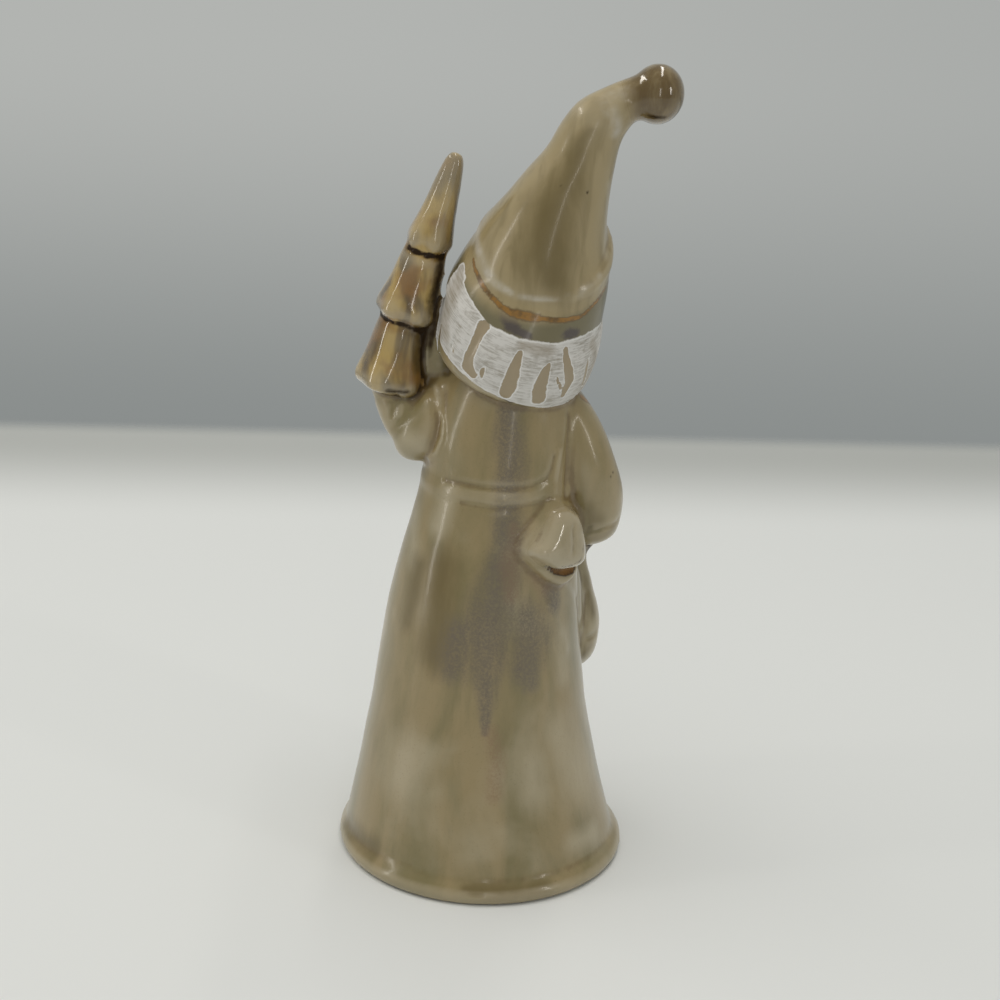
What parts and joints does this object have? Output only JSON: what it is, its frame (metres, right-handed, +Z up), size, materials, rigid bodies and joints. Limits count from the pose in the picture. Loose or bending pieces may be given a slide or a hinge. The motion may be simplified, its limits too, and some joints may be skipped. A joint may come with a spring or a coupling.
{
  "type": "santa gnome figurine",
  "caption": "Hollow glazed stoneware gnome with a long bent hat, white hair and beard, a long belted robe, a small fir tree in one arm and a tied sack in the other hand.",
  "frame": {"origin": "middle of the flat base, at table height", "axes": "+Z up through the figure, -Y out of its face, +X to its left side, where the fir tree is"},
  "size_m": [0.0846, 0.0838, 0.2211],
  "materials": {
    "glazed_stoneware": "gloss"
  },
  "bodies": {
    "root": {"gnome_figure": "glazed_stoneware"}
  },
  "joints": []
}
